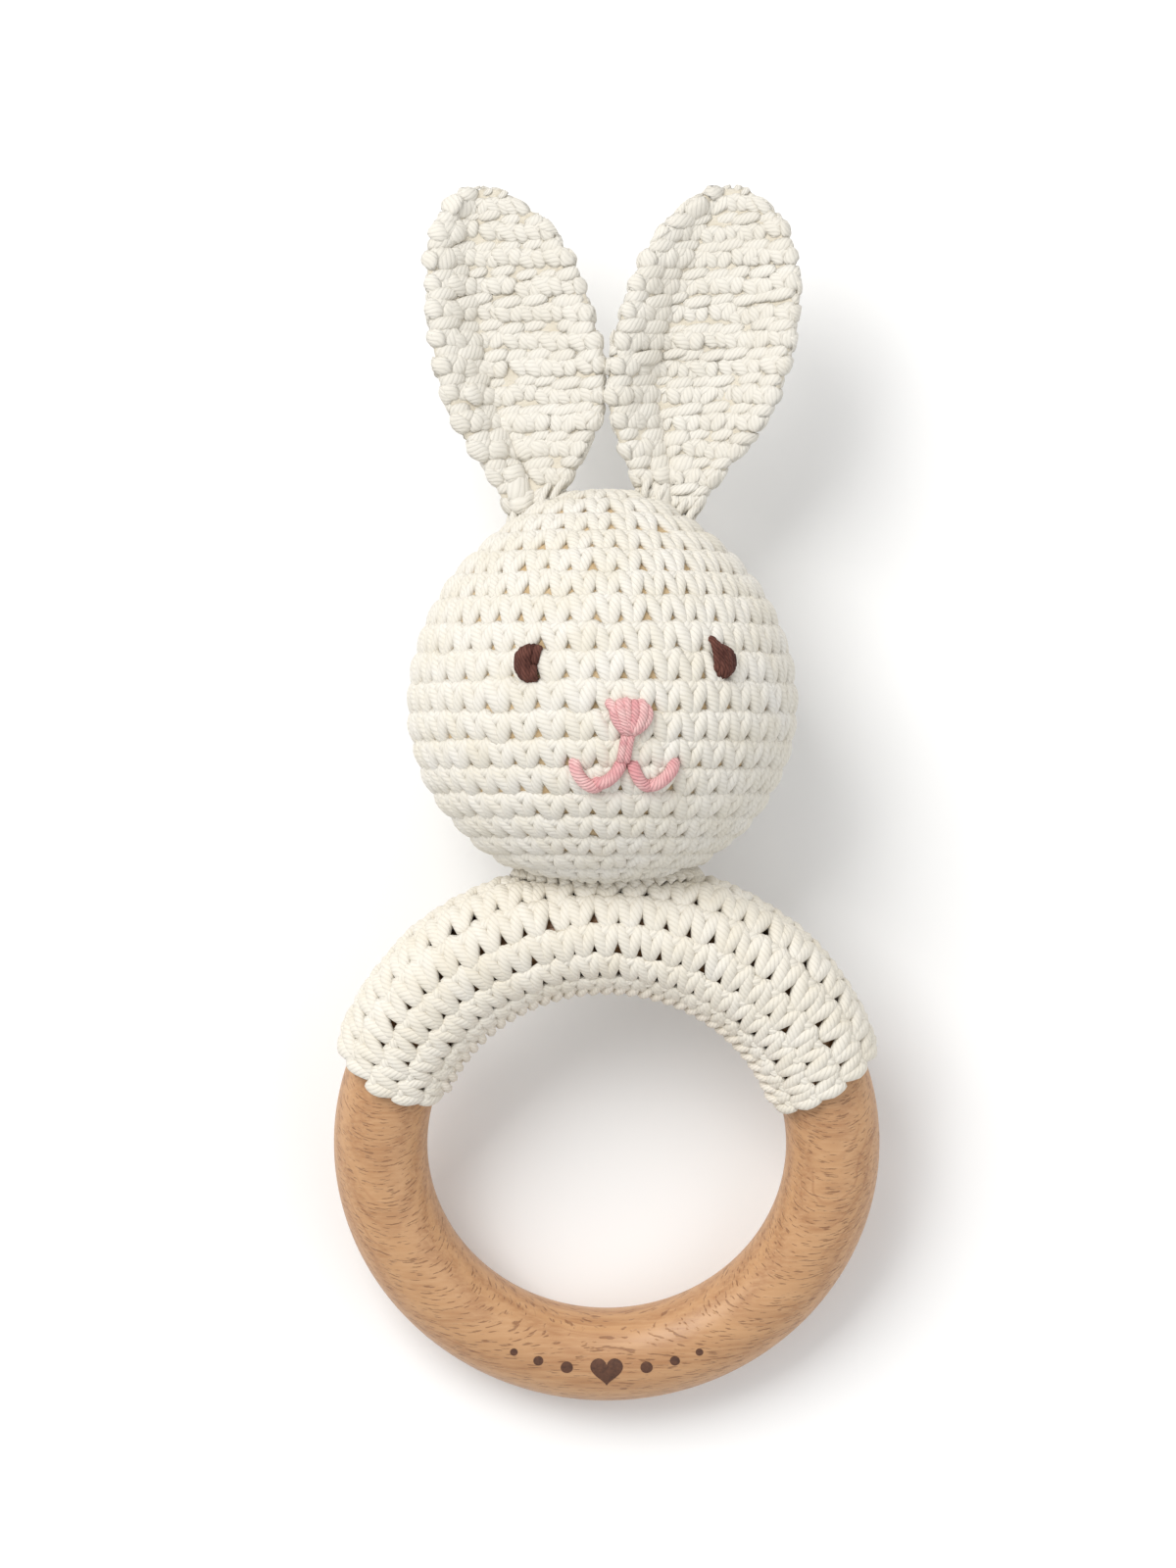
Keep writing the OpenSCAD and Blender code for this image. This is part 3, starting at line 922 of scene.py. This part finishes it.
def make_ear(name, ear, seed):
    """Rows of stitches and rows of knots in turn, over a thin core."""
    stitch_width = 2.9
    build = Build()
    surface = ear.surface(EAR_THICK)
    rows = []
    for k in range(EAR_ROWS):
        t0, t1 = k / EAR_ROWS, (k + 1) / EAR_ROWS
        around = 4 * ear.half_width((t0 + t1) / 2) + 2 * EAR_THICK
        rows.append((t0, t1, 1.0, 0.0, max(8, 2 * round(around / stitch_width / 2))))
    same = dict(full_width=3.2, relief=0.42, flat=0.42)
    stitches(build, surface, rows[0::2], seed, loose=3.0, closed=1.0, leg_rings=6, loop_rings=5, **same)
    stitches(build, surface, rows[1::2], seed + 10, loose=4.0, knots=True, **same)
    body = f"{name}_ear"
    piece = build.mesh(f"{name}_ear_yarn", EAR_CREAM)
    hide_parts(body)

    t = np.linspace(0.015, 0.985, 70)[:, None]
    u = np.linspace(0, 1, 96, endpoint=False)[None, :]
    core = ear.surface(EAR_THICK)
    lining = grid(f"{name}_ear_lining", core(u + 0 * t, t + 0 * u), EAR_LINING)

    for part in (piece, lining):
        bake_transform(part)


def make_ear_seam(name, ear):
    """Whip stitches that hold an ear's foot on the crown, in front and behind."""
    build = Build()
    # One whip as (across the ear, up from the crown, out of the ear's middle layer).
    whip = smooth([(-0.10, 0.0, 1.45), (-0.05, 0.9, 1.35), (0.0, 1.7, 1.25), (0.07, 2.3, 1.0),
                   (0.12, 2.7, 0.3)], 9)
    paths, ups = [], []
    for front in (1, -1):
        for s in np.linspace(-0.84, 0.84, 5):
            off = ear.root + s * 4 - HEAD[0]
            crown = HEAD[1] + HEAD_UP * math.sqrt(1 - (off / HEAD_R) ** 2)
            crown += crown_lift(off) - YARN_DEPTH
            t = (crown + whip[:, 1] - EAR_BASE) / (EAR_TOP - EAR_BASE)
            spot, normal = ear.layer(s + whip[:, 0], t, front * whip[:, 2])
            paths.append(spot)
            ups.append(front * normal)
    paths, ups = np.array(paths), np.array(ups)
    build.tubes(paths, ups, np.full(paths.shape[:2], 0.5))
    piece = build.mesh(f"{name}_ear_whips", EAR_CREAM)
    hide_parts(f"{name}_ear_seam")
    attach(piece, "head")


# ---------------------------------------------------------------- face

def on_face(turn, height):
    """place(x, y): the point of the head's outer surface, and the way it faces, that lies x to the
    right and y up in a view from outside at that turn, where y is 0 at that height."""
    def place(x, y):
        y = y + height
        tall = np.where(y > 0, HEAD_UP, HEAD_DOWN)
        radius = HEAD_R * np.sqrt(1 - (y / tall) ** 2)
        angle = math.radians(turn) + np.arcsin(np.clip(x / radius, -1, 1))
        spot = HEAD + np.stack([radius * np.sin(angle), y, radius * np.cos(angle)], -1)
        slope = np.stack([np.sin(angle) / HEAD_R ** 2 * radius, y / tall ** 2,
                          np.cos(angle) / HEAD_R ** 2 * radius], -1)
        return spot, unit(slope)
    return place


def bow(top, bottom, bulge, height):
    """A strand from top to bottom that bows sideways by bulge, stands out by about height and
    dives in at both ends."""
    dive = -1.0
    (x0, y0), (x1, y1) = top, bottom
    line = [(x0, y0, dive)]
    for f in (0.12, 0.3, 0.5, 0.7, 0.88):
        swell = math.sin(math.pi * f) ** 0.8
        line.append((x0 + (x1 - x0) * f + bulge * swell, y0 + (y1 - y0) * f,
                     height * min(1, swell * 1.6) - 0.05))
    line.append((x1, y1, dive))
    return line


def embroider(name, place, lines, radius, material, seed):
    build = Build()
    strands(build, place, lines, radius, count=14, seed=seed)
    piece = build.mesh(f"{name}_thread", material)
    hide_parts(name)
    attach(piece, "head")


# Each eye's strands, from the left one to the right one, as bow() takes them.
LEFT_EYE = [
    ((-1.3, 1.3), (-1.2, -1.2), -0.15, 0.3),
    ((-0.8, 1.9), (-0.75, -1.9), -0.2, 0.5),
    ((-0.25, 2.2), (-0.2, -2.2), -0.2, 0.55),
    ((0.35, 2.2), (0.3, -2.2), -0.25, 0.5),
    ((1.0, 1.9), (0.7, -0.1), 0.15, 0.4),
    ((0.6, -0.5), (0.7, -2.0), 0.1, 0.4),
]
RIGHT_EYE = [
    ((-1.3, 2.7), (-1.15, -1.6), 0.1, 0.45),
    ((-0.75, 2.1), (-0.6, -2.1), 0.1, 0.55),
    ((-0.15, 1.7), (-0.05, -2.3), 0.15, 0.6),
    ((0.45, 1.5), (0.45, -2.2), 0.15, 0.55),
    ((1.0, 1.2), (0.95, -1.8), 0.15, 0.4),
    ((1.4, 0.6), (1.35, -1.1), 0.1, 0.25),
]
# The nose's strands fan out from its tip.
NOSE_TIP = (-0.15, -2.1)
NOSE = [
    ((-2.8, 1.9), NOSE_TIP, 0.15, 0.4),
    ((-1.9, 1.4), NOSE_TIP, -0.75, 0.6),
    ((-1.3, 1.9), NOSE_TIP, -0.3, 0.85),
    ((-0.5, 2.1), NOSE_TIP, -0.1, 0.75),
    ((0.4, 1.9), NOSE_TIP, 0.3, 0.8),
    ((1.2, 1.9), NOSE_TIP, 0.75, 0.9),
    ((1.7, 1.3), NOSE_TIP, 1.15, 0.6),
]
NOSE_STEM = [
    ((-0.6, 2.0), (-1.1, -1.7), -0.05, 0.35),
    ((0.15, 2.0), (-0.4, -1.7), -0.05, 0.35),
]
# The mouth's two strands on each side, as (x, y, out) points from the middle outwards.
MOUTH_LEFT = [
    [(-0.8, 0.6, -0.8), (-1.4, -0.5, 0.35), (-2.4, -1.5, 0.55), (-3.4, -2.0, 0.35),
     (-4.3, -2.2, -0.8)],
    [(-3.2, -2.6, -0.8), (-4.3, -2.4, 0.45), (-5.5, -1.6, 0.6), (-6.4, -0.4, 0.35),
     (-6.8, 0.7, -0.8)],
]
MOUTH_RIGHT = [
    [(0.4, 0.4, -0.8), (0.8, -0.7, 0.35), (1.5, -1.8, 0.55), (2.3, -2.3, 0.35),
     (3.1, -2.5, -0.8)],
    [(2.0, -2.5, -0.8), (3.0, -2.2, 0.45), (4.2, -1.5, 0.6), (5.3, -0.4, 0.35),
     (6.0, 0.7, -0.8)],
]


def make_face():
    def bows(strokes):
        return [bow(*stroke) for stroke in strokes]

    left_eye_at, right_eye_at = on_face(FACE_TURN - 30, 5.2), on_face(FACE_TURN + 30, 5.8)
    embroider("left_eye", left_eye_at, bows(LEFT_EYE), 0.52, BROWN, 31)
    embroider("right_eye", right_eye_at, bows(RIGHT_EYE), 0.5, BROWN, 32)

    nose_at, stem_at = on_face(FACE_TURN, -1.5), on_face(FACE_TURN, -5.45)
    embroider("nose", nose_at, bows(NOSE), 0.66, PINK, 33)
    embroider("nose_stem", stem_at, bows(NOSE_STEM), 0.52, PINK, 34)

    mouth_at = on_face(FACE_TURN, -7.5)
    embroider("mouth_left", mouth_at, MOUTH_LEFT, 0.82, PINK, 35)
    embroider("mouth_right", mouth_at, MOUTH_RIGHT, 0.82, PINK, 36)


# ---------------------------------------------------------------- rattle

def finish_rattle():
    """The capsule and its beads stay as the frame has them, in plastic."""
    shell = plastic("capsule_plastic", srgb(214, 228, 236), 0.25, cloud=0.5)
    bead = plastic("bead_plastic", srgb(226, 226, 222), 0.35)
    for name, node in frame["nodes"].items():
        if name.startswith("capsule"):
            node.data.materials.clear()
            node.data.materials.append(shell)
        elif name.startswith("bead"):
            node.data.materials.clear()
            node.data.materials.append(bead)


bpy.context.scene.view_settings.view_transform = "Standard"
add_camera()
add_floor()
add_world((1.0, 1.0, 1.0), 0.64)
add_light("key", (-0.55, 0.6, 1.1), 0.8, 14, (1.0, 0.99, 0.97))
add_light("fill", (0.8, -0.3, 0.9), 1.2, 2.5, (0.98, 0.99, 1.0))

make_ring()
make_mark()
make_sleeve()
make_sleeve_seam()
make_neck_seam()
make_head()
make_stuffing()
left_ear = Ear(root=-9.4, lean=-1.6, bend=-5.0, wide=1.0, fold=1.0)
right_ear = Ear(root=7.9, lean=8.8, bend=-1.0, wide=1.07, fold=0.9)
make_ear("left", left_ear, 41)
make_ear("right", right_ear, 42)
make_ear_seam("left", left_ear)
make_ear_seam("right", right_ear)
make_face()
finish_rattle()

bpy.context.view_layer.update()
